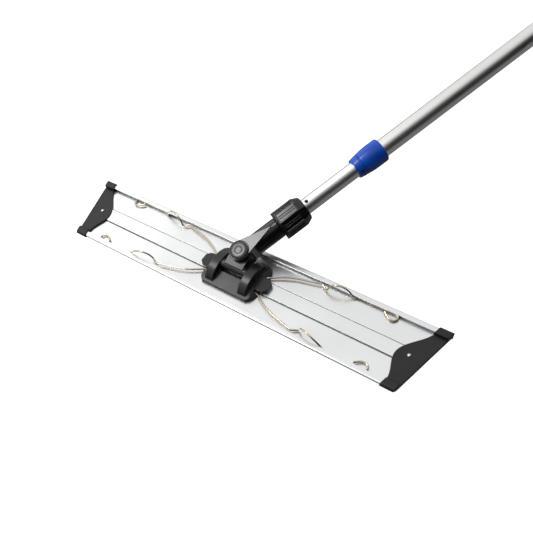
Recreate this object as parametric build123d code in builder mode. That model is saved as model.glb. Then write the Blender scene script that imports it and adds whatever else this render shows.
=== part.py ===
from build123d import *
import os
from math import cos, pi, radians, sin

# Flat mop: an aluminium plate with four cloth-holding wires, a swivel base with a two-way joint,
# and a telescopic pole.  Millimetres, +Z up.  The origin is the centre of the plate's underside:
# X runs along the plate, -Y is the near edge, and the pole leans over the far edge, towards +X.

os.makedirs("parts", exist_ok=True)

# ---- driving dimensions: plate ----
plate_width = 100.0         # over the two rails
far_length = 564.0          # over the end caps, at the far rail
near_length = 508.0         # over the end caps, at the near rail
strip_thickness = 2.4       # hook strips, the lowest thing on the mop
sheet_thickness = 2.0
band_half_width = 10.0      # raised band along the middle
band_rise = 1.45
rail_rise = 5.2             # top of a rail above the flats
rail_width = 7.7
rail_wall = 1.5
rail_root_inset = 3.8       # the outer wall leans in by this much at its foot
rail_waist_drop = 2.4       # the widest point of the rail, below its top
underside_recess = 1.4      # hollow under the raised band
strip_edge = plate_width / 2 - 7   # outer edge of a hook strip from the middle
strip_gap = 12.0            # inner edge of a hook strip from the middle
middle_strip_half = 8.0     # half width of the strip in the recess under the band
strip_end_gap = 37.0        # from the cap's outer face to the end of a strip

# ---- driving dimensions: end caps ----
cap_wall = 1.6
cap_end_wall = 1.8
cap_deck_wall = 1.3         # over the raised band
cap_skirt = 1.2             # lip under the sheet
cap_arm = 17.5              # width of a cap where it wraps a rail
cap_bulge = 17.5            # extra width of a cap in the middle
rivet_inset = 19.0          # from the cap's outer face to its rivet
rivet_radius = 2.0
rivet_head_radius = 3.8
rivet_head_height = 1.5

# ---- driving dimensions: swivel base ----
base_half_length = 42.0     # along X, without the wings
base_half_depth = 31.0
base_corner = 7.0
side_slope_run = 2.5        # the ends reach this far past it at the middle
wing_reach = 54.0
wing_half_depth = 10.5
wing_corner = 5.0
base_edge_height = 3.2      # above the band, at the front and back edges
base_side_height = 8.0      # above the flats, on the side lobes
lobe_shoulder = 17.0        # where the side lobes reach full height
lug_inner = 20.0
lug_thickness = 12.5
lug_crown = 7.5             # plastic above the hinge pin's axis
lug_flat = 1.5              # half of the short flat on a lug's crown
lug_foot_depth = 27.0       # a lug's sweep ends here, short of the base's edge
lug_foot_height = 2.3       # above the flats
side_slope_top = 36.0       # the ends slope in to this X at the lobes' height, beside each wing
side_slope_foot = 1.5       # upright part of an end, above the flats
panel_top = 10.0            # top of the sloped front panel above the flats
panel_back = 8.5
hinge_height = 14.6         # hinge pin above the flats
hinge_pin_radius = 4.0
base_screw_radius = 2.0
base_screw_x = 37.0
base_screw_y = 23.0

# ---- driving dimensions: knuckle and yoke ----
inner_tube_radius = 11.0
spigot_wall = 2.2
shoulder = 1.2              # socket over its spigot
swing_distance = 21.6       # hinge pin to swing pin
barrel_wall = 2.6           # knuckle's barrel over the hinge pin
barrel_end_gap = 0.4
bush_wall = 0.9
bush_length = 9.0
tongue_half_width = 14.5
tongue_half_thickness = 8.0
swing_pin_radius = 4.0
washer_thickness = 0.4
cheek_wall = 6.6
cheek_outer = tongue_half_thickness + washer_thickness + cheek_wall
cheek_radius = 14.0
cheek_tip = 50.0            # where the tapered cheek runs out along the socket
cheek_tip_radius = 1.2
button_radius = 12.6
button_height = 3.4
button_rim_radius = 14.0
button_rim_height = 1.0
pin_cap_radius = 8.0        # flat cap at the swing pin's other end
pin_cap_height = 1.2
socket_radius = inner_tube_radius + spigot_wall + shoulder
socket_root = 19.5
socket_end = 60.0
spigot_radius = inner_tube_radius + spigot_wall
spigot_end = 84.0

# ---- driving dimensions: clamp nut ----
nut_start = 60.4
nut_end = 102.4
nut_flat_radius = spigot_radius + 6.1   # half the width across the eight flats
nut_rim_radius = nut_flat_radius + 2.3
nut_rim_length = 3.0
nut_chamfer_start = 93.0
nut_top_radius = spigot_radius + 1.8
nut_mouth_radius = inner_tube_radius + 1.0
groove_depth = 0.8
collet_length = 9.6
collet_slots = 6

# ---- driving dimensions: pole ----
inner_tube_wall = 1.2
inner_tube_start = 44.0
inner_tube_length = 900.0
outer_tube_wall = 1.1
tube_slide_gap = 0.4        # inner tube in the outer tube's bore
outer_tube_radius = inner_tube_radius + tube_slide_gap + outer_tube_wall
outer_tube_start = 205.0
outer_tube_length = 900.0
snap_distance = 108.0       # snap button, just above the clamp nut
snap_radius = 2.5
snap_stand = 0.9
collar_ring_start = 184.0
collar_start = 194.8
collar_end = 228.0
collar_ring_radius = outer_tube_radius + 1.1
collar_ring_swell = outer_tube_radius + 2.7
collar_low_radius = outer_tube_radius + 2.9
collar_high_radius = outer_tube_radius + 4.3
grip_length = 130.0
grip_radius = outer_tube_radius + 3.0
grip_ribs = 9
pole_plug_length = 18.0
pole_plug_disc = 6.0
pole_plug_wall = 2.0
eye_distance = 18.0         # hanging hole from the end of the tube
eye_radius = 11.0
eye_half_thickness = 4.5
hang_hole_radius = 4.5

# ---- driving dimensions: wires ----
wire_radius = 1.0
wire_seat = 14.0            # length of wire held inside the base

# ---- clearances ----
running_gap = 0.05          # a shaft in its hole
free_gap = 0.3              # between pieces that move past each other
screw_gap = 0.15            # male thread to female thread

# ---- rest pose ----
hinge_tilt = 70.7           # pole plane laid back from upright, about the hinge pin
side_swing = 26.75          # pole turned towards +X, about the swing pin

# ---- derived levels and frames ----
sheet_bottom = strip_thickness
flat_top = sheet_bottom + sheet_thickness
band_top = flat_top + band_rise
rail_top = flat_top + rail_rise
half_width = plate_width / 2
lip_edge = half_width - rail_width
end_slope = (far_length - near_length) / 2 / plate_width
mid_reach = (far_length + near_length) / 4
hinge_z = flat_top + hinge_height
lug_outer = lug_inner + lug_thickness

tilt = radians(hinge_tilt)
swing = radians(side_swing)
stand_dir = Vector(0, sin(tilt), cos(tilt))
button_dir = Vector(0, -cos(tilt), sin(tilt))
pole_dir = stand_dir * cos(swing) + Vector(1, 0, 0) * sin(swing)
hinge_point = Vector(0, 0, hinge_z)
swing_point = hinge_point + stand_dir * swing_distance

# Local Z along the pole, local X out through the pivot button.
pole = Plane(origin=swing_point, x_dir=button_dir, z_dir=pole_dir)
# A plane that holds the pole's axis as its local Y, for turned profiles.
pole_section = Plane(origin=swing_point, x_dir=button_dir, z_dir=button_dir.cross(pole_dir))
# Its normal is the swing pin; local X runs up the pole.
cheek_plane = Plane(origin=swing_point, x_dir=pole_dir, z_dir=button_dir)
# Its normal is the swing pin; local X runs from the hinge pin to the swing pin.
tongue_plane = Plane(origin=swing_point, x_dir=stand_dir, z_dir=button_dir)
pole_axis = Axis(swing_point, pole_dir)
# A plane through the pole's axis, square to the button plane; local X runs up the pole.
eye_plane = Plane(origin=swing_point, x_dir=pole_dir, z_dir=pole_dir.cross(button_dir))


def finish(builder, name):
    """Label a finished piece and write it out."""
    builder.part.label = name
    export_step(builder.part, f"parts/{name}.step")


def reach(y):
    """Distance from the middle to the caps' outer face, at this Y."""
    return mid_reach + end_slope * y


def trapezoid(inset):
    """Outline of the plate's plan, with its slanted ends moved in by an inset."""
    wide = half_width + 10
    return [(-reach(-wide) + inset, -wide), (reach(-wide) - inset, -wide),
            (reach(wide) - inset, wide), (-reach(wide) + inset, wide)]


# ==== plate ====

def rail_line():
    """Half of the extrusion's section, drawn in Y and Z inside a BuildLine."""
    waist = rail_top - rail_waist_drop
    foot = half_width - rail_root_inset
    inner_waist = half_width - rail_wall
    lip_under = rail_top - rail_wall
    recess_edge = band_half_width - rail_wall
    recess_top = sheet_bottom + underside_recess
    Polyline((0, recess_top), (recess_edge, recess_top), (recess_edge, sheet_bottom), (foot, sheet_bottom),
             (half_width, waist))
    RadiusArc((half_width, waist), (half_width - rail_waist_drop, rail_top), -rail_waist_drop)
    Polyline((half_width - rail_waist_drop, rail_top), (lip_edge, rail_top), (lip_edge, lip_under),
             (inner_waist - 1, lip_under), (inner_waist, waist), (foot - rail_wall, flat_top),
             (band_half_width, flat_top), (band_half_width, band_top), (0, band_top),
             (0, recess_top))


section_plane = Plane(origin=(-far_length / 2, 0, 0), x_dir=(0, 1, 0), z_dir=(1, 0, 0))

with BuildPart() as mop_plate:
    with BuildSketch(section_plane) as plate_section:
        with BuildLine():
            rail_line()
        make_face()
        mirror(about=Plane.YZ)
    extrude(amount=far_length)
    with BuildSketch(Plane.XY):
        Polygon(*trapezoid(cap_end_wall), align=None)
    extrude(amount=rail_top + 1, mode=Mode.INTERSECT)
    with Locations((mid_reach - rivet_inset, 0, band_top), (rivet_inset - mid_reach, 0, band_top)):
        Hole(rivet_radius)
    with BuildSketch(Plane.XY):
        with GridLocations(2 * base_screw_x, 2 * base_screw_y, 2, 2):
            Circle(base_screw_radius)
    extrude(amount=rail_top, mode=Mode.SUBTRACT)
finish(mop_plate, "mop_plate")


def hook_strip(side, name):
    """A strip of hook tape under one half of the plate."""
    middle = side * (strip_edge + strip_gap) / 2
    length = 2 * (reach(middle) - strip_end_gap)
    with BuildPart() as strip:
        with BuildSketch(Plane.XY):
            with Locations((0, middle)):
                RectangleRounded(length, strip_edge - strip_gap, 2)
        extrude(amount=strip_thickness)
        with BuildSketch(Plane.XY):
            with GridLocations(2 * base_screw_x, 2 * base_screw_y, 2, 2):
                Circle(base_screw_radius + 2.2)
        extrude(amount=strip_thickness, mode=Mode.SUBTRACT)
    finish(strip, name)


hook_strip(-1, "hook_strip_near")
hook_strip(1, "hook_strip_far")

with BuildPart() as hook_strip_middle:
    with BuildSketch(Plane.XY):
        RectangleRounded(2 * (mid_reach - strip_end_gap), 2 * middle_strip_half, 2)
    extrude(amount=strip_thickness + underside_recess)
finish(hook_strip_middle, "hook_strip_middle")


# ==== end caps ====

cap_deck = band_top + cap_deck_wall


def cap_edge(y):
    """X of the cap's inner edge: an arm over each rail and a bell in the middle."""
    bell = cos(pi / 2 * min(abs(y) / lip_edge, 1)) ** 2
    return reach(y) - cap_arm - cap_bulge * bell


def end_cap(side, name):
    """A moulded cap that sleeves over one slanted end of the extrusion."""
    far_y = half_width + cap_wall
    top = rail_top + cap_wall
    skirt = sheet_bottom - cap_skirt
    waist = rail_top - rail_waist_drop
    foot = half_width - rail_root_inset
    step = lip_edge - cap_wall
    bell_points = [(cap_edge(y), y) for y in [lip_edge * k / 6 for k in range(-6, 7)]]
    with BuildPart() as cap:
        with BuildSketch(section_plane):
            with BuildLine():
                Polyline((0, skirt), (foot, skirt), (far_y, waist))
                RadiusArc((far_y, waist), (half_width - rail_waist_drop, top), -(rail_waist_drop + cap_wall))
                Polyline((half_width - rail_waist_drop, top), (step, top), (step - 1.5, cap_deck),
                         (0, cap_deck), (0, skirt))
            make_face()
            mirror(about=Plane.YZ)
        extrude(amount=far_length)
        with BuildSketch(Plane.XY):
            with BuildLine():
                Spline(*bell_points)
                Polyline((cap_edge(lip_edge), lip_edge), (cap_edge(far_y + 5), far_y + 5),
                         (reach(far_y + 5), far_y + 5), (reach(-far_y - 5), -far_y - 5),
                         (cap_edge(-far_y - 5), -far_y - 5), (cap_edge(-lip_edge), -lip_edge))
            make_face()
        extrude(amount=top + 1, mode=Mode.INTERSECT)
        add(mop_plate.part, mode=Mode.SUBTRACT)
        with Locations((mid_reach - rivet_inset, 0, top)):
            Hole(rivet_radius)
        if side < 0:
            mirror(about=Plane.YZ, mode=Mode.REPLACE)
    finish(cap, name)


end_cap(1, "end_cap_right")
end_cap(-1, "end_cap_left")


with BuildPart() as end_cap_rivets:
    for side in (-1, 1):
        with BuildSketch(Plane((side * (mid_reach - rivet_inset), 0, sheet_bottom - cap_skirt))):
            Circle(rivet_radius)
        extrude(amount=cap_deck - sheet_bottom + cap_skirt)
        with BuildSketch(Plane((side * (mid_reach - rivet_inset), 0, cap_deck))):
            Circle(rivet_head_radius)
        extrude(amount=rivet_head_height, taper=35)
        with BuildSketch(Plane((side * (mid_reach - rivet_inset), 0, sheet_bottom - cap_skirt - 0.8))):
            Circle(rivet_head_radius - 0.6)
        extrude(amount=0.8)
finish(end_cap_rivets, "end_cap_rivets")


# Centre line of the wire in the far right quarter, with Z above the flats.
seat_z = 4.5
wire_route = [(46.0 - wire_seat, 10.0, seat_z), (46.0, 13.5, 6.0), (62.0, 21.5, 11.5), (88.0, 31.0, 14.0),
              (107.0, 39.0, 7.5), (116.0, 36.6, 6.0), (127.0, 37.5, 12.5), (137.5, 39.2, 14.5),
              (148.0, 38.9, 2.6), (158.0, 44.0, 2.3), (203.0, 44.0, 2.3), (212.5, 43.0, 2.5),
              (214.0, 37.5, 2.9), (209.0, 34.8, 3.2), (200.0, 39.0, 4.6)]
wire_bends = [8, 20, 25, 7, 6, 10, 7, 6, 7, 6, 3.5, 3, 3, 5]


# ==== swivel base ====

side_view = Plane(origin=(0, 0, 0), x_dir=(0, 1, 0), z_dir=(1, 0, 0))
edge_top = band_top + base_edge_height
lobe_top = flat_top + base_side_height
lug_top = hinge_z + lug_crown
lug_foot = flat_top + lug_foot_height
slope_depth = base_half_depth - wing_half_depth
front_view = Plane(origin=(0, 0, 0), x_dir=(1, 0, 0), z_dir=(0, -1, 0))


def lug_profile():
    """Side view of a lug: a quarter-round sweep from near each long edge to a short flat crown."""
    sweep_depth = lug_foot_depth - lug_flat
    sweep_height = lug_top - lug_foot
    Polyline((-lug_foot_depth, flat_top), (lug_foot_depth, flat_top), (lug_foot_depth, lug_foot))
    EllipticalCenterArc((lug_flat, lug_foot), sweep_depth, sweep_height, 0, arc_size=90)
    Line((lug_flat, lug_top), (-lug_flat, lug_top))
    EllipticalCenterArc((-lug_flat, lug_foot), sweep_depth, sweep_height, 90, arc_size=90)
    Line((-lug_foot_depth, lug_foot), (-lug_foot_depth, flat_top))


end_reach = base_half_length + side_slope_run


def end_slope_profile(side):
    """Front view of what is cut away above the sloped end on one side."""
    Polygon((side * end_reach, flat_top + side_slope_foot), (side * side_slope_top, lobe_top),
            (side * side_slope_top, lobe_top + 1), (side * end_reach, lobe_top + 1), align=None)


with BuildPart() as swivel_base:
    with BuildSketch(Plane.XY.offset(flat_top)):
        with BuildLine():
            Polyline((0, -base_half_depth), (base_half_length - base_corner, -base_half_depth),
                     (base_half_length, base_corner - base_half_depth),
                     (end_reach, -wing_half_depth - 6), (end_reach, -wing_half_depth - 1),
                     (wing_reach - wing_corner, -wing_half_depth),
                     (wing_reach, wing_corner - wing_half_depth), (wing_reach, 0))
            mirror(about=Plane.XZ)
            mirror(about=Plane.YZ)
        make_face()
    extrude(amount=base_side_height)
    with BuildSketch(side_view.offset(-wing_reach)):
        Polygon((-base_half_depth, flat_top), (base_half_depth, flat_top), (base_half_depth, edge_top),
                (lobe_shoulder, lobe_top), (-lobe_shoulder, lobe_top), (-base_half_depth, edge_top),
                align=None)
    extrude(amount=2 * wing_reach, mode=Mode.INTERSECT)
    for side in (-1, 1):
        for slope_start in (wing_half_depth + 1, -base_half_depth - 1):
            with BuildSketch(front_view.offset(slope_start)):
                end_slope_profile(side)
            extrude(amount=slope_depth, mode=Mode.SUBTRACT)
    for lug_start in (lug_inner, -lug_outer):
        with BuildSketch(side_view.offset(lug_start)):
            with BuildLine():
                lug_profile()
            make_face()
        extrude(amount=lug_thickness)
    with BuildSketch(side_view.offset(-lug_inner)):
        Polygon((-base_half_depth, flat_top), (-panel_back, flat_top), (-panel_back, flat_top + panel_top),
                (-base_half_depth, edge_top), align=None)
    extrude(amount=2 * lug_inner)
    with BuildSketch(side_view.offset(-lug_inner)):
        Polygon((-panel_back, flat_top), (base_half_depth + 1, flat_top),
                (base_half_depth + 1, lug_top), (-panel_back, lug_top), align=None)
    extrude(amount=2 * lug_inner, mode=Mode.SUBTRACT)
    with BuildSketch(side_view.offset(-lug_outer)):
        with Locations((0, hinge_z)):
            Circle(hinge_pin_radius)
    extrude(amount=2 * lug_outer, mode=Mode.SUBTRACT)
    add(mop_plate.part, mode=Mode.SUBTRACT)
    with BuildSketch(Plane.XY.offset(flat_top)):
        with GridLocations(2 * base_screw_x, 2 * base_screw_y, 2, 2):
            Circle(base_screw_radius)
    extrude(amount=base_edge_height - 0.5, mode=Mode.SUBTRACT)
    inner_end = Vector(*wire_route[0])
    channel_dir = Vector(*wire_route[1]) - inner_end
    for side_x in (-1, 1):
        for side_y in (-1, 1):
            start = Vector(side_x * inner_end.X, side_y * inner_end.Y, flat_top + inner_end.Z)
            direction = Vector(side_x * channel_dir.X, side_y * channel_dir.Y, channel_dir.Z)
            with BuildSketch(Plane(origin=start, z_dir=direction)):
                Circle(wire_radius + running_gap)
            extrude(amount=channel_dir.length + 2, mode=Mode.SUBTRACT)
finish(swivel_base, "swivel_base")

with BuildPart() as base_screws:
    for x in (-base_screw_x, base_screw_x):
        for y in (-base_screw_y, base_screw_y):
            with BuildSketch(Plane((x, y, sheet_bottom))):
                Circle(base_screw_radius)
            extrude(amount=sheet_thickness + base_edge_height - 0.8)
            with BuildSketch(Plane((x, y, sheet_bottom))):
                Circle(base_screw_radius + 1.8)
            extrude(amount=-1.6, taper=20)
finish(base_screws, "base_screws")

pin_reach = lug_outer + 1.2

with BuildPart(side_view.offset(-pin_reach)) as hinge_pin:
    with Locations((0, hinge_z)):
        Cylinder(hinge_pin_radius, 2 * pin_reach, align=(Align.CENTER, Align.CENTER, Align.MIN))
    chamfer(hinge_pin.faces().filter_by(Axis.X).edges(), 0.6)
finish(hinge_pin, "hinge_pin")


# ==== knuckle ====

barrel_half = lug_inner - barrel_end_gap
bush_radius = hinge_pin_radius + bush_wall

with BuildPart() as knuckle:
    with BuildSketch(side_view.offset(-barrel_half)):
        with Locations((0, hinge_z)):
            Circle(hinge_pin_radius + barrel_wall)
    extrude(amount=2 * barrel_half)
    with BuildSketch(tongue_plane.offset(-tongue_half_thickness)):
        Circle(tongue_half_width)
        with Locations((-swing_distance / 2, 0)):
            Rectangle(swing_distance, 2 * tongue_half_width)
    extrude(amount=2 * tongue_half_thickness)
    with BuildSketch(side_view.offset(-barrel_half)):
        with Locations((0, hinge_z)):
            Circle(hinge_pin_radius + running_gap)
    extrude(amount=2 * barrel_half, mode=Mode.SUBTRACT)
    for x in (-barrel_half, barrel_half - bush_length):
        with BuildSketch(side_view.offset(x)):
            with Locations((0, hinge_z)):
                Circle(bush_radius)
        extrude(amount=bush_length, mode=Mode.SUBTRACT)
    with BuildSketch(tongue_plane.offset(-tongue_half_thickness)):
        Circle(swing_pin_radius + running_gap)
    extrude(amount=2 * tongue_half_thickness, mode=Mode.SUBTRACT)
finish(knuckle, "knuckle")

with BuildPart() as hinge_bushes:
    for x in (-barrel_half, barrel_half - bush_length):
        with BuildSketch(side_view.offset(x)):
            with Locations((0, hinge_z)):
                Circle(bush_radius)
                Circle(hinge_pin_radius + running_gap, mode=Mode.SUBTRACT)
        extrude(amount=bush_length)
finish(hinge_bushes, "hinge_bushes")


# ==== yoke and swing pin ====

slot_half = tongue_half_thickness + washer_thickness
tube_seat_radius = inner_tube_radius + running_gap

with BuildPart() as yoke_socket:
    with BuildSketch(pole.offset(socket_root)):
        Circle(socket_radius)
    extrude(amount=socket_end - socket_root)
    with BuildSketch(pole.offset(socket_end)):
        Circle(spigot_radius)
    extrude(amount=spigot_end - socket_end)
    with BuildSketch(cheek_plane.offset(-cheek_outer)):
        Circle(cheek_radius)
        with Locations((cheek_tip, 0)):
            Circle(cheek_tip_radius)
        make_hull()
    extrude(amount=2 * cheek_outer)
    with BuildSketch(cheek_plane.offset(-slot_half)):
        Circle(tongue_half_width + 1.2)
        with Locations((-cheek_radius, 0)):
            Rectangle(2 * cheek_radius, 2 * tongue_half_width + 2.4)
    extrude(amount=2 * slot_half, mode=Mode.SUBTRACT)
    with BuildSketch(pole.offset(inner_tube_start)):
        Circle(tube_seat_radius)
    extrude(amount=spigot_end - inner_tube_start, mode=Mode.SUBTRACT)
    with BuildSketch(cheek_plane.offset(-cheek_outer)):
        Circle(swing_pin_radius)
    extrude(amount=2 * cheek_outer, mode=Mode.SUBTRACT)
finish(yoke_socket, "yoke_socket")

with BuildPart() as swing_pin:
    with BuildSketch(cheek_plane.offset(-cheek_outer)):
        Circle(swing_pin_radius)
    extrude(amount=2 * cheek_outer)
finish(swing_pin, "swing_pin")

with BuildPart() as swing_washers:
    for height in (-slot_half, tongue_half_thickness):
        with BuildSketch(cheek_plane.offset(height)):
            Circle(cheek_radius - 3)
            Circle(swing_pin_radius + running_gap, mode=Mode.SUBTRACT)
        extrude(amount=washer_thickness)
finish(swing_washers, "swing_washers")


with BuildPart() as pivot_button:
    with BuildSketch(cheek_plane.offset(cheek_outer)):
        Circle(button_rim_radius)
    extrude(amount=button_rim_height)
    with BuildSketch(cheek_plane.offset(cheek_outer + button_rim_height)):
        Circle(button_radius)
    extrude(amount=button_height - button_rim_height)
    crown = pivot_button.faces().sort_by(Axis(swing_point, button_dir))[-1]
    fillet(crown.edges(), button_height - button_rim_height - 0.4)
finish(pivot_button, "pivot_button")

with BuildPart() as swing_pin_cap:
    with BuildSketch(cheek_plane.offset(-cheek_outer)):
        Circle(pin_cap_radius)
    extrude(amount=-pin_cap_height, taper=20)
finish(swing_pin_cap, "swing_pin_cap")


# ==== clamp nut and collet ====

collet_start = spigot_end + free_gap
collet_end = collet_start + collet_length
nut_bore_radius = spigot_radius + screw_gap

with BuildPart() as clamp_nut:
    with BuildSketch(pole.offset(nut_start)):
        RegularPolygon(nut_flat_radius, 8, major_radius=False, rotation=22.5)
    extrude(amount=nut_end - nut_start)
    with BuildSketch(pole_section):
        with BuildLine():
            Polyline((0, nut_start), (nut_rim_radius + 1, nut_start), (nut_rim_radius + 1, nut_chamfer_start),
                     (nut_top_radius, nut_end), (0, nut_end), (0, nut_start))
        make_face()
    revolve(axis=pole_axis, mode=Mode.INTERSECT)
    with BuildSketch(pole.offset(nut_start)):
        Circle(nut_rim_radius)
    extrude(amount=nut_rim_length)
    for turn in range(8):
        angle = turn * pi / 4
        flat_dir = button_dir * cos(angle) + pole_dir.cross(button_dir) * sin(angle)
        flat_origin = swing_point + pole_dir * (nut_start + nut_chamfer_start + nut_rim_length) / 2
        flat = Plane(origin=flat_origin + flat_dir * nut_flat_radius, x_dir=pole_dir, z_dir=flat_dir)
        with BuildSketch(flat):
            with GridLocations(0, 3.6, 1, 3):
                SlotOverall(nut_chamfer_start - nut_start - nut_rim_length - 6, 1.6)
        extrude(amount=-groove_depth, mode=Mode.SUBTRACT)
    with BuildSketch(pole_section):
        with BuildLine():
            Polyline((0, nut_start), (nut_bore_radius, nut_start), (nut_bore_radius, collet_end),
                     (nut_mouth_radius, collet_end + free_gap), (nut_mouth_radius, nut_end), (0, nut_end),
                     (0, nut_start))
        make_face()
    revolve(axis=pole_axis, mode=Mode.SUBTRACT)
finish(clamp_nut, "clamp_nut")

with BuildPart() as collet:
    with BuildSketch(pole_section):
        with BuildLine():
            Polyline((tube_seat_radius, collet_start), (spigot_radius, collet_start),
                     (spigot_radius, collet_end - 1), (nut_mouth_radius + 0.4, collet_end),
                     (tube_seat_radius, collet_end), (tube_seat_radius, collet_start))
        make_face()
    revolve(axis=pole_axis)
    with BuildSketch(pole.offset(collet_start + 2)):
        with PolarLocations(spigot_radius, collet_slots):
            Rectangle(6, 0.8)
    extrude(amount=collet_length, mode=Mode.SUBTRACT)
finish(collet, "collet")


# ==== pole ====

def tube(start, length, radius, wall, name):
    """A plain round tube along the pole's axis."""
    with BuildPart() as body:
        with BuildSketch(pole.offset(start)):
            Circle(radius)
            Circle(radius - wall, mode=Mode.SUBTRACT)
        extrude(amount=length)
        if name == "inner_tube":
            with BuildSketch(cheek_plane):
                with Locations((snap_distance, 0)):
                    Circle(snap_radius + 0.1)
            extrude(amount=radius + 1, mode=Mode.SUBTRACT)
    finish(body, name)


tube(inner_tube_start, inner_tube_length, inner_tube_radius, inner_tube_wall, "inner_tube")
tube(outer_tube_start, outer_tube_length, outer_tube_radius, outer_tube_wall, "outer_tube")

inner_bore = inner_tube_radius - inner_tube_wall
outer_bore = outer_tube_radius - outer_tube_wall
inner_tube_end = inner_tube_start + inner_tube_length
outer_tube_end = outer_tube_start + outer_tube_length

with BuildPart() as snap_button:
    with BuildSketch(cheek_plane.offset(inner_bore - 3)):
        with Locations((snap_distance, 0)):
            Circle(snap_radius)
    extrude(amount=inner_tube_wall + 3 + snap_stand)
    with BuildSketch(cheek_plane.offset(inner_bore - 3)):
        with Locations((snap_distance, 0)):
            Circle(snap_radius + 1)
    extrude(amount=1)
finish(snap_button, "snap_button")

with BuildPart() as snap_spring:
    with BuildSketch(eye_plane):
        with BuildLine():
            Polyline((snap_distance - 4, inner_bore - 3.25), (snap_distance + 5, inner_bore - 3.25),
                     (snap_distance + 26, 0.5), (snap_distance + 5, 4 - inner_bore),
                     (snap_distance - 4, 4 - inner_bore))
        trace(line_width=0.5)
    extrude(amount=3, both=True)
finish(snap_spring, "snap_spring")

with BuildPart() as tube_guide:
    with BuildSketch(pole.offset(inner_tube_end - 14)):
        Circle(inner_bore)
    extrude(amount=14)
    with BuildSketch(pole.offset(inner_tube_end)):
        Circle(outer_bore - running_gap)
    extrude(amount=12)
    with BuildSketch(pole.offset(inner_tube_end - 14)):
        Circle(inner_bore - 3)
    extrude(amount=26, mode=Mode.SUBTRACT)
finish(tube_guide, "tube_guide")


# ==== lock collar ====

sleeve_radius = outer_tube_radius + 1.6
jaw_start = collar_start + 1
jaw_radius = outer_tube_radius

with BuildPart() as lock_sleeve:
    with BuildSketch(pole_section):
        with BuildLine():
            Polyline((inner_tube_radius + 0.1, collar_ring_start), (collar_ring_radius, collar_ring_start),
                     (collar_ring_swell, collar_start - 2), (collar_ring_swell, collar_start - free_gap),
                     (sleeve_radius, collar_start - free_gap), (sleeve_radius, collar_end - 6),
                     (outer_tube_radius, collar_end - 6), (outer_tube_radius, jaw_start),
                     (inner_tube_radius + 0.1, jaw_start), (inner_tube_radius + 0.1, collar_ring_start))
        make_face()
    revolve(axis=pole_axis)
finish(lock_sleeve, "lock_sleeve")

with BuildPart() as lock_jaw:
    with BuildSketch(pole.offset(jaw_start)):
        Circle(jaw_radius)
        Circle(inner_tube_radius + running_gap, mode=Mode.SUBTRACT)
        with Locations((jaw_radius, 0)):
            Rectangle(6, 1, mode=Mode.SUBTRACT)
    extrude(amount=outer_tube_start - jaw_start)
finish(lock_jaw, "lock_jaw")

with BuildPart() as lock_collar:
    with BuildSketch(pole_section):
        with BuildLine():
            Polyline((sleeve_radius + screw_gap, collar_start), (collar_low_radius, collar_start),
                     (collar_high_radius, collar_start + 12), (collar_high_radius, collar_end - 1),
                     (collar_high_radius - 1, collar_end), (outer_tube_radius + 0.2, collar_end),
                     (outer_tube_radius + 0.2, collar_end - 5), (sleeve_radius + screw_gap, collar_end - 5),
                     (sleeve_radius + screw_gap, collar_start))
        make_face()
    revolve(axis=pole_axis)
finish(lock_collar, "lock_collar")


# ==== grip and pole end ====

grip_start = outer_tube_end - grip_length
rib_pitch = grip_length / (grip_ribs + 1)

with BuildPart() as hand_grip:
    with BuildSketch(pole.offset(grip_start)):
        Circle(grip_radius)
        Circle(outer_tube_radius, mode=Mode.SUBTRACT)
    extrude(amount=grip_length)
    chamfer(hand_grip.edges().filter_by(GeomType.CIRCLE).sort_by(SortBy.RADIUS)[-2:], 1.5)
    for rib in range(1, grip_ribs + 1):
        with BuildSketch(pole_section):
            with Locations((grip_radius + 0.7, grip_start + rib * rib_pitch)):
                Circle(1.8)
        revolve(axis=pole_axis, mode=Mode.SUBTRACT)
finish(hand_grip, "hand_grip")

with BuildPart() as pole_end_cap:
    with BuildSketch(pole.offset(outer_tube_end - pole_plug_length)):
        Circle(outer_bore)
    extrude(amount=pole_plug_length)
    with BuildSketch(pole.offset(outer_tube_end)):
        Circle(grip_radius)
    extrude(amount=pole_plug_disc)
    with BuildSketch(eye_plane):
        with Locations((outer_tube_end + eye_distance / 2, 0)):
            Rectangle(eye_distance, 2 * eye_radius)
        with Locations((outer_tube_end + eye_distance, 0)):
            Circle(eye_radius)
    extrude(amount=eye_half_thickness, both=True)
    with BuildSketch(pole.offset(outer_tube_end)):
        Circle(outer_bore - pole_plug_wall)
    extrude(amount=-2 * pole_plug_length, mode=Mode.SUBTRACT)
    with BuildSketch(eye_plane):
        with Locations((outer_tube_end + eye_distance, 0)):
            Circle(hang_hole_radius)
    extrude(amount=2 * eye_half_thickness, both=True, mode=Mode.SUBTRACT)
finish(pole_end_cap, "pole_end_cap")


# ==== cloth wires ====

def cloth_wire(side_x, side_y, name):
    """One formed spring wire, from the base to the finger loop at its end."""
    points = [(side_x * x, side_y * y, flat_top + z) for x, y, z in wire_route]
    with BuildPart() as wire:
        with BuildLine() as route:
            FilletPolyline(*points, radius=wire_bends[:len(points) - 2])
        with BuildSketch(Plane(origin=route.line @ 0, z_dir=route.line % 0)):
            Circle(wire_radius)
        sweep()
    finish(wire, name)


for side_x, along in ((-1, "left"), (1, "right")):
    for side_y, across in ((-1, "near"), (1, "far")):
        cloth_wire(side_x, side_y, f"cloth_wire_{across}_{along}")
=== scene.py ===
from math import atan, cos, pi, radians, sin, tan

import bmesh
import bpy
from mathutils import Matrix, Vector


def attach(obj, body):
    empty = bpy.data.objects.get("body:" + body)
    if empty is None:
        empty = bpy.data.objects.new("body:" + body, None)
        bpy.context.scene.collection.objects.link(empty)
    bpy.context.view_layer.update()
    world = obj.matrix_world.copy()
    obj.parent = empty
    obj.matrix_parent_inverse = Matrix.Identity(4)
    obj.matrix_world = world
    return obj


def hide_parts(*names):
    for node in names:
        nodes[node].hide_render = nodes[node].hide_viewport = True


# Looks for the flat mop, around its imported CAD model.  The model's frame is in metres; helpers here
# take millimetres and scale the finished mesh once.

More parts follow.
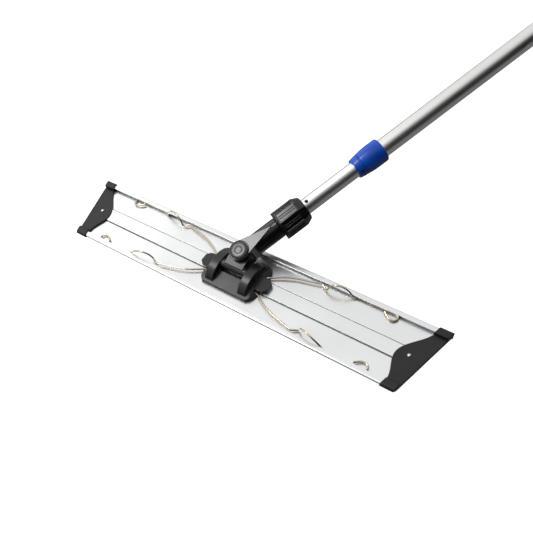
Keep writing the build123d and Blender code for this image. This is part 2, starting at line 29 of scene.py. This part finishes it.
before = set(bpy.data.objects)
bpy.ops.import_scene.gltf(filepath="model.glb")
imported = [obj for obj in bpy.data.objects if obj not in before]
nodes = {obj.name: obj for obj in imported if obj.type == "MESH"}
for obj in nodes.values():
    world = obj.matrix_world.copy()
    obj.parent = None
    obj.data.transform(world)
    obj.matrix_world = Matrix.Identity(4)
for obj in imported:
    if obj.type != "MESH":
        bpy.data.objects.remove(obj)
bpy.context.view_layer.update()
MM = 0.001

# ---- sizes shared with the CAD part, in millimetres ----
FLAT_TOP = 4.4              # top of the plate's flats
BAND_TOP = 5.85
RAIL_TOP = 9.6
HALF_WIDTH = 50.0
LIP_EDGE = 42.3
MID_REACH = 268.0
END_SLOPE = 0.28
HINGE_Z = 19.0
SWING_DISTANCE = 21.6
HINGE_TILT = radians(70.7)
SIDE_SWING = radians(26.75)

stand_dir = Vector((0, sin(HINGE_TILT), cos(HINGE_TILT)))
button_dir = Vector((0, -cos(HINGE_TILT), sin(HINGE_TILT)))
pole_dir = stand_dir * cos(SIDE_SWING) + Vector((1, 0, 0)) * sin(SIDE_SWING)
swing_point = Vector((0, 0, HINGE_Z)) + stand_dir * SWING_DISTANCE


def axes(origin, x, z):
    """Matrix of a frame from its origin, its X and its Z."""
    z = z.normalized()
    x = x.normalized()
    y = z.cross(x)
    return Matrix(((x.x, y.x, z.x, origin.x), (x.y, y.y, z.y, origin.y),
                   (x.z, y.z, z.z, origin.z), (0, 0, 0, 1)))


on_pole = axes(swing_point, button_dir, pole_dir)          # Z up the pole, X through the button
on_cheek = axes(swing_point, pole_dir, button_dir)         # Z through the button, X up the pole


# ---- materials ----

def new_material(name):
    material = bpy.data.materials.new(name)
    material.use_nodes = True
    return material, material.node_tree.nodes, material.node_tree.links


def grain_input(tree_nodes, links, scale, turn=None):
    """Object coordinates, stretched by a scale per axis and turned by a matrix first."""
    coordinates = tree_nodes.new("ShaderNodeTexCoord")
    mapping = tree_nodes.new("ShaderNodeMapping")
    mapping.inputs["Scale"].default_value = scale
    source = coordinates.outputs["Object"]
    if turn is not None:
        turning = tree_nodes.new("ShaderNodeMapping")
        turning.inputs["Rotation"].default_value = turn
        links.new(source, turning.inputs["Vector"])
        source = turning.outputs["Vector"]
    links.new(source, mapping.inputs["Vector"])
    return mapping.outputs["Vector"]


def ramp(tree_nodes, links, source, stops):
    node = tree_nodes.new("ShaderNodeValToRGB")
    while len(node.color_ramp.elements) < len(stops):
        node.color_ramp.elements.new(0.5)
    for element, (place, colour) in zip(node.color_ramp.elements, stops):
        element.position = place
        element.color = (*colour, 1) if hasattr(colour, "__len__") else (colour, colour, colour, 1)
    links.new(source, node.inputs["Fac"])
    return node.outputs["Color"]


def noise(tree_nodes, links, vector, scale, detail=3.0, roughness=0.5):
    node = tree_nodes.new("ShaderNodeTexNoise")
    node.inputs["Scale"].default_value = scale
    node.inputs["Detail"].default_value = detail
    node.inputs["Roughness"].default_value = roughness
    links.new(vector, node.inputs["Vector"])
    return node.outputs["Fac"]


def bump(tree_nodes, links, height, shader, strength, distance):
    node = tree_nodes.new("ShaderNodeBump")
    node.inputs["Strength"].default_value = strength
    node.inputs["Distance"].default_value = distance
    links.new(height, node.inputs["Height"])
    links.new(node.outputs["Normal"], shader.inputs["Normal"])


def metal(name, dark, light, rough, stretch, turn=None, strength=0.25, metallic=1.0):
    """Drawn metal: fine lines along one axis, and slow patches in tone and polish."""
    material, tree_nodes, links = new_material(name)
    shader = tree_nodes["Principled BSDF"]
    shader.inputs["Metallic"].default_value = metallic
    lines = noise(tree_nodes, links, grain_input(tree_nodes, links, stretch, turn), 1.0, 4.0, 0.6)
    patches = noise(tree_nodes, links, grain_input(tree_nodes, links, (14, 14, 14), turn), 1.0, 2.0)
    colour = ramp(tree_nodes, links, lines, [(0.30, dark), (0.72, light)])
    links.new(colour, shader.inputs["Base Color"])
    polish = ramp(tree_nodes, links, patches, [(0.3, rough - 0.05), (0.7, rough + 0.06)])
    links.new(polish, shader.inputs["Roughness"])
    bump(tree_nodes, links, lines, shader, strength, 0.00006)
    return material


def plastic(name, dark, light, rough, grain, strength=0.3, coat=0.0, specular=0.5):
    """Moulded plastic: a fine grain, with slow changes of gloss."""
    material, tree_nodes, links = new_material(name)
    shader = tree_nodes["Principled BSDF"]
    shader.inputs["Specular IOR Level"].default_value = specular
    shader.inputs["Coat Weight"].default_value = coat
    fine = noise(tree_nodes, links, grain_input(tree_nodes, links, (grain, grain, grain)), 1.0, 2.0)
    slow = noise(tree_nodes, links, grain_input(tree_nodes, links, (45, 45, 45)), 1.0, 3.0)
    links.new(ramp(tree_nodes, links, slow, [(0.3, dark), (0.75, light)]), shader.inputs["Base Color"])
    links.new(ramp(tree_nodes, links, slow, [(0.25, rough - 0.06), (0.8, rough + 0.06)]), shader.inputs["Roughness"])
    bump(tree_nodes, links, fine, shader, strength, 0.00005)
    return material


POLE_TURN = on_pole.to_3x3().inverted().to_euler()
plate_metal = metal("plate_metal", (0.75, 0.76, 0.765), (0.80, 0.81, 0.815), 0.30, (3, 1500, 1500), None, 0.05)
# A darker metal for the band grooves' faces: painted shade, darkening the grooves beyond what their depth shades.
groove_painted_shade_metal = metal("groove_painted_shade_metal", (0.27, 0.27, 0.26), (0.36, 0.36, 0.35), 0.50, (3, 900, 900), None, 0.1)
tube_metal = metal("tube_metal", (0.70, 0.695, 0.68), (0.80, 0.795, 0.78), 0.32, (1400, 1400, 4), POLE_TURN, 0.15)
wire_metal = metal("wire_metal", (0.50, 0.42, 0.31), (0.66, 0.58, 0.46), 0.20, (400, 400, 400), None, 0.1)
screw_metal = metal("screw_metal", (0.50, 0.49, 0.47), (0.68, 0.67, 0.64), 0.30, (600, 600, 600), None, 0.1)
cap_black = plastic("cap_black", (0.007, 0.007, 0.008), (0.013, 0.013, 0.014), 0.50, 1800, 0.4, 0.0, 0.35)
base_black = plastic("base_black", (0.008, 0.008, 0.008), (0.016, 0.016, 0.016), 0.36, 1800, 0.5, 0.0, 0.45)
# A lighter grey for a strip on the base's black front: painted reflection of the plate in that face.
front_strip_painted_reflection = plastic("front_strip_painted_reflection", (0.12, 0.115, 0.10), (0.17, 0.16, 0.145), 0.45, 1500, 0.3)
gloss_black = plastic("gloss_black", (0.003, 0.003, 0.003), (0.006, 0.006, 0.006), 0.20, 900, 0.10)
button_grey = plastic("button_grey", (0.030, 0.030, 0.030), (0.050, 0.050, 0.050), 0.30, 1500, 0.2)
collar_blue = plastic("collar_blue", (0.003, 0.055, 0.40), (0.005, 0.085, 0.55), 0.28, 1400, 0.15, 0.0, 0.35)
grip_black = plastic("grip_black", (0.015, 0.015, 0.016), (0.030, 0.030, 0.031), 0.70, 1200, 0.6)
guide_white = plastic("guide_white", (0.62, 0.60, 0.54), (0.72, 0.70, 0.64), 0.45, 900)
hook_grey = plastic("hook_grey", (0.05, 0.05, 0.055), (0.12, 0.12, 0.125), 0.85, 700, 1.0)

node_finish = {
    "mop_plate": plate_metal, "end_cap_left": cap_black, "end_cap_right": cap_black,
    "end_cap_rivets": screw_metal, "hook_strip_near": hook_grey, "hook_strip_far": hook_grey,
    "hook_strip_middle": hook_grey, "swivel_base": base_black, "base_screws": screw_metal,
    "hinge_pin": base_black, "hinge_bushes": guide_white, "knuckle": base_black,
    "yoke_socket": gloss_black, "swing_pin": screw_metal, "swing_washers": guide_white,
    "pivot_button": button_grey, "swing_pin_cap": button_grey, "clamp_nut": gloss_black,
    "collet": guide_white, "inner_tube": tube_metal, "outer_tube": tube_metal,
    "snap_button": screw_metal, "snap_spring": screw_metal, "tube_guide": guide_white,
    "lock_sleeve": collar_blue, "lock_jaw": guide_white, "lock_collar": collar_blue,
    "hand_grip": grip_black, "pole_end_cap": grip_black, "cloth_wire_near_left": wire_metal,
    "cloth_wire_near_right": wire_metal, "cloth_wire_far_left": wire_metal,
    "cloth_wire_far_right": wire_metal,
}
for name, material in node_finish.items():
    nodes[name].data.materials.clear()
    nodes[name].data.materials.append(material)


# ---- mesh helpers, in millimetres ----

def turned(profile, steps=72):
    """A shape turned about local Z from (radius, height) pairs; a profile off the axis is closed."""
    bm = bmesh.new()
    verts = [bm.verts.new((radius, 0, height)) for radius, height in profile]
    edges = [bm.edges.new(pair) for pair in zip(verts, verts[1:])]
    if profile[0][0] > 0:
        edges.append(bm.edges.new((verts[-1], verts[0])))
    bmesh.ops.spin(bm, geom=verts + edges, cent=(0, 0, 0), axis=(0, 0, 1), angle=2 * pi, steps=steps, use_merge=True)
    bmesh.ops.remove_doubles(bm, verts=bm.verts, dist=1e-4)
    return bm


def slab(outline, depth):
    """A flat outline in local X and Y, given a depth along Z."""
    bm = bmesh.new()
    face = bm.faces.new([bm.verts.new((x, y, 0)) for x, y in outline])
    grown = bmesh.ops.extrude_face_region(bm, geom=[face])
    top = [v for v in grown["geom"] if isinstance(v, bmesh.types.BMVert)]
    bmesh.ops.translate(bm, verts=top, vec=(0, 0, depth))
    return bm


def together(parts):
    """One bmesh from several (bmesh, matrix or None) pairs."""
    joined = bmesh.new()
    for bm, place in parts:
        if place is not None:
            bmesh.ops.transform(bm, matrix=place, verts=bm.verts)
        carried = bpy.data.meshes.new("carried")
        bm.to_mesh(carried)
        joined.from_mesh(carried)
        bpy.data.meshes.remove(carried)
        bm.free()
    return joined


def fit_piece(name, bm, material, body, stands_for, edge=0.0, steps=3, angle=35):
    """Turn a bmesh in metres into a finished piece that rides on a body and stands for CAD nodes."""
    bmesh.ops.recalc_face_normals(bm, faces=bm.faces)
    mesh = bpy.data.meshes.new(name)
    bm.to_mesh(mesh)
    bm.free()
    mesh.shade_smooth()
    obj = bpy.data.objects.new(name, mesh)
    bpy.context.scene.collection.objects.link(obj)
    mesh.materials.append(material)
    if edge:
        rounding = obj.modifiers.new("rounding", "BEVEL")
        rounding.width = edge * MM
        rounding.segments = steps
        rounding.limit_method = "ANGLE"
        rounding.angle_limit = radians(angle)
        rounding.use_clamp_overlap = False
    else:
        mesh.set_sharp_from_angle(angle=radians(angle))
    shading = obj.modifiers.new("shading", "WEIGHTED_NORMAL")
    shading.keep_sharp = True
    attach(obj, body)
    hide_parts(*stands_for)
    return obj


def add_piece(name, bm, material, body, stands_for, place=None, edge=0.0, steps=3, angle=35):
    """Place a bmesh made in millimetres, scale it to metres and finish it."""
    if place is not None:
        bmesh.ops.transform(bm, matrix=place, verts=bm.verts)
    bmesh.ops.scale(bm, vec=(MM, MM, MM), verts=bm.verts)
    return fit_piece(name, bm, material, body, stands_for, edge, steps, angle)


def soften(node, name, material, body, edge, steps=3, angle=30, more=None):
    """A copy of a CAD node with its flat faces joined and its edges rounded."""
    bm = bmesh.new()
    bm.from_mesh(nodes[node].data)
    bmesh.ops.remove_doubles(bm, verts=bm.verts, dist=2e-6)
    bmesh.ops.dissolve_limit(bm, angle_limit=radians(0.6), verts=bm.verts, edges=bm.edges)
    if more is not None:
        extra = together(more)
        bmesh.ops.scale(extra, vec=(MM, MM, MM), verts=extra.verts)
        bm = together([(bm, None), (extra, None)])
    return fit_piece(name, bm, material, body, [node], edge, steps, angle)


def reach(y):
    return MID_REACH + END_SLOPE * y


# ---- plate ----

def rail_half():
    """Half of the extrusion's section as (across, up), from the middle of the top to the middle below."""
    crown = [(47.6 + 2.4 * sin(t), 7.2 + 2.4 * cos(t)) for t in [pi / 8 * k for k in range(5)]]
    return [(10.0, BAND_TOP), (10.0, FLAT_TOP - 1.2), (11.5, FLAT_TOP - 1.2), (11.5, FLAT_TOP), (44.7, FLAT_TOP), (48.5, 7.2), (47.5, 8.1), (LIP_EDGE, 8.1),
            (LIP_EDGE, RAIL_TOP)] + crown + [(46.2, 2.4), (8.5, 2.4), (8.5, 3.8)]


half = rail_half()
section = half + [(-y, z) for y, z in reversed(half)]
along_x = axes(Vector((-300, 0, 0)), Vector((0, 1, 0)), Vector((1, 0, 0)))
plate_bm = slab(section, 600)
bmesh.ops.transform(plate_bm, matrix=along_x, verts=plate_bm.verts)
for v in plate_bm.verts:
    v.co.x = (reach(v.co.y) - 1.8) * (1 if v.co.x > 0 else -1)
# Faces in the band grooves take the second, darker material: painted shade in the grooves.
for face in plate_bm.faces:
    middle = face.calc_center_median()
    if 9.9 < abs(middle.y) < 11.6 and FLAT_TOP - 1.3 < middle.z < BAND_TOP and abs(middle.x) < 200:
        face.material_index = 1
plate = add_piece("plate_extrusion", plate_bm, plate_metal, "plate", ["mop_plate"], edge=0.25,
                  steps=2, angle=28)
plate.data.materials.append(groove_painted_shade_metal)

# ---- end caps ----

CAP_WALL = 1.6
CAP_DECK = BAND_TOP + 1.3


def bell_edge(y):
    bell = cos(pi / 2 * min(abs(y) / LIP_EDGE, 1)) ** 2
    return reach(y) - 17.5 - 17.5 * bell


def cap_top(y):
    """Height of a cap's top face: a block over each rail, and the deck between them."""
    across = abs(y)
    if across < 38:
        return CAP_DECK
    if across < 39.5:
        return CAP_DECK - 1.0
    if across <= 47.6:
        return RAIL_TOP + CAP_WALL
    return 7.2 + max(0.0, 16 - (across - 47.6) ** 2) ** 0.5


cap_lines = [0, 4, 8, 12, 16, 20, 24, 28, 31, 34, 36, 37.5, 38.4, 39.1, 39.9, 42.3, 45, 47.6, 48.9, 50.1, 51.0, 51.6]
stations = [-y for y in reversed(cap_lines[1:])] + cap_lines
for side, along in ((-1, "left"), (1, "right")):
    cap_bm = bmesh.new()
    bmesh.ops.create_grid(cap_bm, x_segments=3, y_segments=len(stations) - 1, size=1)
    for v in cap_bm.verts:
        y = stations[round((v.co.y + 1) / 2 * (len(stations) - 1))]
        share = (v.co.x + 1) / 2
        v.co = Vector((bell_edge(y) + (reach(y) - bell_edge(y)) * share, y, cap_top(y)))
    grown = bmesh.ops.extrude_face_region(cap_bm, geom=cap_bm.faces[:])
    for v in [g for g in grown["geom"] if isinstance(g, bmesh.types.BMVert)]:
        v.co.z = 1.2
        v.co.y = max(-47.0, min(47.0, v.co.y))
    if side < 0:
        bmesh.ops.scale(cap_bm, vec=(-1, 1, 1), verts=cap_bm.verts)
    add_piece(f"end_cap_{along}_shell", cap_bm, cap_black, "plate", [f"end_cap_{along}"],
              edge=0.4, angle=38)

rivet_profile = [(0, 1.7), (1.0, 1.6), (1.9, 1.2), (2.5, 0.6), (2.7, 0.05), (2.7, -2.0), (1.9, -2.0), (1.9, -6.2),
                 (3.2, -6.2), (3.2, -6.8), (0, -6.8)]
rivet_places = [Matrix.Translation((side * (MID_REACH - 19), 0, CAP_DECK)) for side in (-1, 1)]
add_piece("cap_rivets", together([(turned(rivet_profile, 40), place) for place in rivet_places]), screw_metal,
          "plate", ["end_cap_rivets"])

# ---- swivel base, knuckle and yoke ----

soften("swivel_base", "base_moulding", base_black, "plate", 0.8)
# A thin lighter-grey strip on the base's front face: painted reflection of the plate, not a part of its own colour.
painted_reflection_strip_bm = slab([(-35.5, 0), (35.5, 0), (35.5, 1.7), (-35.5, 1.7)], 0.9)
add_piece("base_front_painted_reflection", painted_reflection_strip_bm, front_strip_painted_reflection, "plate", ["swivel_base"],
          axes(Vector((0, -30.9, BAND_TOP - 0.9)), Vector((1, 0, 0)), Vector((0, -1, 0))), edge=0.3, steps=2)
soften("knuckle", "knuckle_moulding", base_black, "knuckle", 0.6)
soften("yoke_socket", "yoke_moulding", gloss_black, "stem", 0.7)

button_profile = [(0, 3.0), (2.0, 3.0), (4.4, 3.15), (5.0, 2.75), (5.5, 2.75), (6.2, 3.2), (9.4, 2.95), (10.2, 2.7),
                  (10.7, 2.2), (11.2, 2.15), (11.6, 2.5), (12.4, 1.9), (12.7, 0.9), (12.75, -0.3), (13.2, -0.4),
                  (13.3, 0.6), (13.7, 0.7), (14.0, 0.3), (14.0, -0.8), (0, -0.8)]
add_piece("pivot_button_turned", turned(button_profile, 96), button_grey, "stem", ["pivot_button"],
          on_cheek @ Matrix.Translation((0, 0, 15.0)), angle=40)

# ---- clamp nut ----

NUT_FLAT = 19.3
corner_radius = NUT_FLAT / cos(pi / 8)
nut_bm = bmesh.new()
bmesh.ops.create_cone(nut_bm, segments=8, radius1=corner_radius, radius2=corner_radius, depth=29.6, cap_ends=True)
bmesh.ops.rotate(nut_bm, cent=(0, 0, 0), matrix=Matrix.Rotation(pi / 8, 3, "Z"), verts=nut_bm.verts)
bmesh.ops.translate(nut_bm, verts=nut_bm.verts, vec=(0, 0, 63.4 + 14.8))
top_face = max(nut_bm.faces, key=lambda f: f.calc_center_median().z)
grown = bmesh.ops.extrude_face_region(nut_bm, geom=[top_face])
lip = [g for g in grown["geom"] if isinstance(g, bmesh.types.BMVert)]
bmesh.ops.translate(nut_bm, verts=lip, vec=(0, 0, 9.4))
bmesh.ops.scale(nut_bm, vec=(0.79, 0.79, 1), verts=lip)
nut_bm.normal_update()
sides = [f for f in nut_bm.faces if abs(f.normal.z) < 0.1]
ends = [max(nut_bm.faces, key=lambda f: f.calc_center_median().z), min(nut_bm.faces, key=lambda f: f.calc_center_median().z)]
for end, wall in zip(ends, (0.8, 4.9)):
    bmesh.ops.inset_region(nut_bm, faces=[end], thickness=wall)
bore_edges = [edge for end in ends for edge in end.edges]
bmesh.ops.delete(nut_bm, geom=ends, context="FACES_ONLY")
bmesh.ops.bridge_loops(nut_bm, edges=bore_edges)
bmesh.ops.inset_individual(nut_bm, faces=sides, thickness=1.7)
bmesh.ops.inset_individual(nut_bm, faces=sides, thickness=0.5, depth=-0.8)
nut_parts = [(nut_bm, None)]
for turn in range(8):
    facing = Matrix.Rotation(turn * pi / 4, 4, "Z")
    for across in (-1.6, 1.6):
        rib = slab([(-0.35, -12.2), (0.35, -12.2), (0.35, 12.2), (-0.35, 12.2)], 0.8)
        laid = axes(Vector((NUT_FLAT - 1.0, across, 78.2)), Vector((0, 1, 0)), Vector((1, 0, 0)))
        nut_parts.append((rib, facing @ laid))
rim_profile = [(14.6, 60.4), (20.4, 60.4), (20.9, 60.8), (20.9, 61.4), (20.3, 61.7), (20.3, 62.1), (20.9, 62.4),
               (20.9, 63.1), (20.2, 63.6), (14.6, 63.6)]
nut_parts.append((turned(rim_profile, 96), None))
mouth_profile = [(11.5, 100.4), (14.9, 100.4), (14.9, 102.3), (14.3, 103.0), (11.9, 103.2), (11.5, 102.9)]
nut_parts.append((turned(mouth_profile, 96), None))
add_piece("clamp_nut_moulding", together(nut_parts), gloss_black, "clamp_nut", ["clamp_nut"],
          on_pole, edge=0.35, steps=2, angle=28)

# ---- pole ----

# The snap button is steel, but its dome is given the gloss black: painted shade standing in for the dark hole around
# it.
snap_profile = [(0, 1.2), (0.8, 1.1), (1.5, 0.8), (1.95, 0.2), (2.05, -1.4), (2.05, -4.0), (0, -4.0)]
add_piece("snap_button_dome_painted_shade", turned(snap_profile, 32), gloss_black, "snap_button", ["snap_button"],
          on_cheek @ Matrix.Translation((108.0, 0, 11.0)), angle=50)

ring_profile = [(11.2, 184.0), (13.3, 184.0), (13.7, 184.5), (14.2, 187.0), (15.0, 191.6), (15.2, 193.2), (15.0, 194.2),
                (14.1, 194.5), (14.1, 222.0), (12.6, 222.0), (12.6, 196.0), (11.2, 196.0)]
add_piece("lock_ring_turned", turned(ring_profile, 96), collar_blue, "handle", ["lock_sleeve"],
          on_pole, angle=50)
# A thin black slab on the ring's face stands in for the window in the ring: painted shade where the slot's inside is
# dark.
window_shade_bm = slab([(-2.2, -2.3), (2.2, -2.3), (2.2, 2.3), (-2.2, 2.3)], 0.9)
window_shade_place = on_pole @ Matrix.Rotation(radians(62), 4, "Z") @ axes(
    Vector((14.3, 0, 189.6)), Vector((0, 1, 0)), Vector((1, 0, -0.12)))
add_piece("lock_ring_window_painted_shade", window_shade_bm, gloss_black, "handle", ["lock_sleeve"], window_shade_place, edge=0.3,
          steps=2)
collar_profile = [(14.25, 194.8), (15.0, 194.8), (15.4, 195.2), (15.7, 198.0), (16.3, 203.0), (16.7, 208.5), (16.8, 214.0),
                  (16.8, 225.0), (16.5, 226.6), (15.8, 227.7), (14.9, 228.0), (12.7, 228.0), (12.7, 223.0),
                  (14.25, 223.0)]
add_piece("lock_collar_turned", turned(collar_profile, 96), collar_blue, "lock_collar", ["lock_collar"],
          on_pole, angle=50)

grip_profile = [(12.5, 975.0), (14.0, 975.0), (15.0, 975.6), (15.5, 977.0)]
for rib in range(1, 10):
    middle = 975.0 + rib * 13.0
    grip_profile += [(15.5, middle - 2.6), (15.2, middle - 1.7), (14.3, middle - 0.9), (14.1, middle),
                     (14.3, middle + 0.9), (15.2, middle + 1.7), (15.5, middle + 2.6)]
grip_profile += [(15.5, 1103.0), (15.0, 1104.4), (14.0, 1105.0), (12.5, 1105.0)]
add_piece("hand_grip_turned", turned(grip_profile, 80), grip_black, "handle", ["hand_grip"],
          on_pole, angle=60)
soften("pole_end_cap", "pole_end_cap_moulding", grip_black, "handle", 0.8)


# ---- cloth wires ----

WIRE_RADIUS = 1.25
# One wire, from inside the base to its returned end: X, Y and the height above the flats.
wire_route = [
    (28, 9, 2.8), (36, 11.5, 2.8), (44, 14.8, 3.4), (55, 21.8, 4.0), (67, 27.8, 4.3), (82, 32.6, 4.3), (96, 35.5, 4.1),
    (105, 38, 4.0), (110, 39, 3.8), (114, 36.4, 3.0), (118.5, 33.6, 2.6), (120.5, 34.4, 6.5), (123, 35.8, 12.5),
    (129, 38, 15.8), (136, 39.8, 16), (142.5, 41, 14.2), (148, 41.2, 9.5), (153, 40.8, 4.0), (157, 42, 2.4),
    (162, 45.2, 2.2), (180, 45.2, 2.2), (204, 45.2, 2.2), (211, 44.6, 2.2), (215.2, 42.2, 2.2), (215.4, 37.0, 2.2),
    (212, 33.4, 2.2), (206, 33.4, 2.4), (201, 36.6, 2.8), (197, 40.2, 3.4)]
for depth_name, near in (("near", -1), ("far", 1)):
    for side_name, side in (("left", -1), ("right", 1)):
        node = f"cloth_wire_{depth_name}_{side_name}"
        curve = bpy.data.curves.new(node, "CURVE")
        curve.dimensions = "3D"
        spline = curve.splines.new("NURBS")
        spline.points.add(len(wire_route) - 1)
        for point, (x, y, z) in zip(spline.points, wire_route):
            point.co = (side * x * MM, near * y * MM, (FLAT_TOP + z) * MM, 1)
        spline.order_u = 3
        spline.use_endpoint_u = True
        spline.resolution_u = 6
        curve.bevel_depth = WIRE_RADIUS * MM
        curve.bevel_resolution = 4
        curve.use_fill_caps = True
        curve.materials.append(wire_metal)
        wire = bpy.data.objects.new(f"{node}_formed", curve)
        bpy.context.scene.collection.objects.link(wire)
        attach(wire, "plate")
        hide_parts(node)

# ---- camera, floor and light ----


camera_data = bpy.data.cameras.new("camera")
camera = bpy.data.objects.new("camera", camera_data)
bpy.context.scene.collection.objects.link(camera)
camera_data.sensor_width = 36.0
camera_data.lens = 41.51
camera_data.clip_end = 50.0
right = Vector((0.827168, 0.547806, -0.125302))
forward = Vector((-0.417818, 0.450414, -0.789022))
camera.matrix_world = axes(Vector((0.37138, -0.33987, 0.65382)), right, -forward)
bpy.context.scene.camera = camera

floor_data = bpy.data.meshes.new("floor")
floor_bm = bmesh.new()
bmesh.ops.create_grid(floor_bm, x_segments=1, y_segments=1, size=6.0)
bmesh.ops.translate(floor_bm, verts=floor_bm.verts, vec=(0, 0, -0.35))
floor_bm.to_mesh(floor_data)
floor_bm.free()
floor = bpy.data.objects.new("floor", floor_data)
bpy.context.scene.collection.objects.link(floor)
floor_material, floor_nodes, floor_links = new_material("floor")
path = floor_nodes.new("ShaderNodeLightPath")
floor_shader = floor_nodes["Principled BSDF"]
tone = ramp(floor_nodes, floor_links, path.outputs["Is Camera Ray"], [(0.0, 0.22), (1.0, 0.93)])
floor_links.new(tone, floor_shader.inputs["Base Color"])
glow = floor_nodes.new("ShaderNodeMath")
glow.operation = "MULTIPLY"
glow.inputs[1].default_value = 0.42
floor_links.new(path.outputs["Is Camera Ray"], glow.inputs[0])
floor_links.new(glow.outputs["Value"], floor_shader.inputs["Emission Strength"])
floor_shader.inputs["Emission Color"].default_value = (1, 1, 1, 1)
floor_shader.inputs["Roughness"].default_value = 0.9
clear = floor_nodes.new("ShaderNodeBsdfTransparent")
side = floor_nodes.new("ShaderNodeNewGeometry")
one_sided = floor_nodes.new("ShaderNodeMixShader")
floor_links.new(side.outputs["Backfacing"], one_sided.inputs["Fac"])
floor_links.new(floor_shader.outputs["BSDF"], one_sided.inputs[1])
floor_links.new(clear.outputs["BSDF"], one_sided.inputs[2])
floor_links.new(one_sided.outputs["Shader"], floor_nodes["Material Output"].inputs["Surface"])
floor_data.materials.append(floor_material)


def softbox(name, place, target, width, depth, power):
    data = bpy.data.lights.new(name, "AREA")
    data.shape = "RECTANGLE"
    data.size, data.size_y, data.energy = width, depth, power
    light = bpy.data.objects.new(name, data)
    bpy.context.scene.collection.objects.link(light)
    direction = (Vector(place) - Vector(target)).normalized()
    light.matrix_world = axes(Vector(place), Vector((1, 0, 0.001)).cross(direction), direction)


softbox("top_light", (-1.1, -0.50, 2.30), (0, 0, 0.05), 0.9, 0.7, 26.0)
softbox("back_light", (-1.7, 0.7, 1.1), (0, 0, 0.05), 1.2, 0.9, 3.0)

# A white surround with one dark side, low on the right, which gives the metal its dark edge.
world = bpy.data.worlds.new("world")
bpy.context.scene.world = world
world.use_nodes = True
sky_nodes, sky_links = world.node_tree.nodes, world.node_tree.links
direction = sky_nodes.new("ShaderNodeTexCoord")
facing_dark = sky_nodes.new("ShaderNodeVectorMath")
facing_dark.operation = "DOT_PRODUCT"
facing_dark.inputs[1].default_value = (0.80, -0.44, -0.41)
sky_links.new(direction.outputs["Generated"], facing_dark.inputs[0])
spread = sky_nodes.new("ShaderNodeMath")
spread.operation = "MULTIPLY_ADD"
spread.inputs[1].default_value = spread.inputs[2].default_value = 0.5
sky_links.new(facing_dark.outputs["Value"], spread.inputs[0])
sky = ramp(sky_nodes, sky_links, spread.outputs["Value"], [(0.34, 1.0), (0.66, 0.02)])
sky_links.new(sky, sky_nodes["Background"].inputs["Color"])
sky_nodes["Background"].inputs["Strength"].default_value = 0.95
bpy.context.scene.view_settings.view_transform = "Standard"
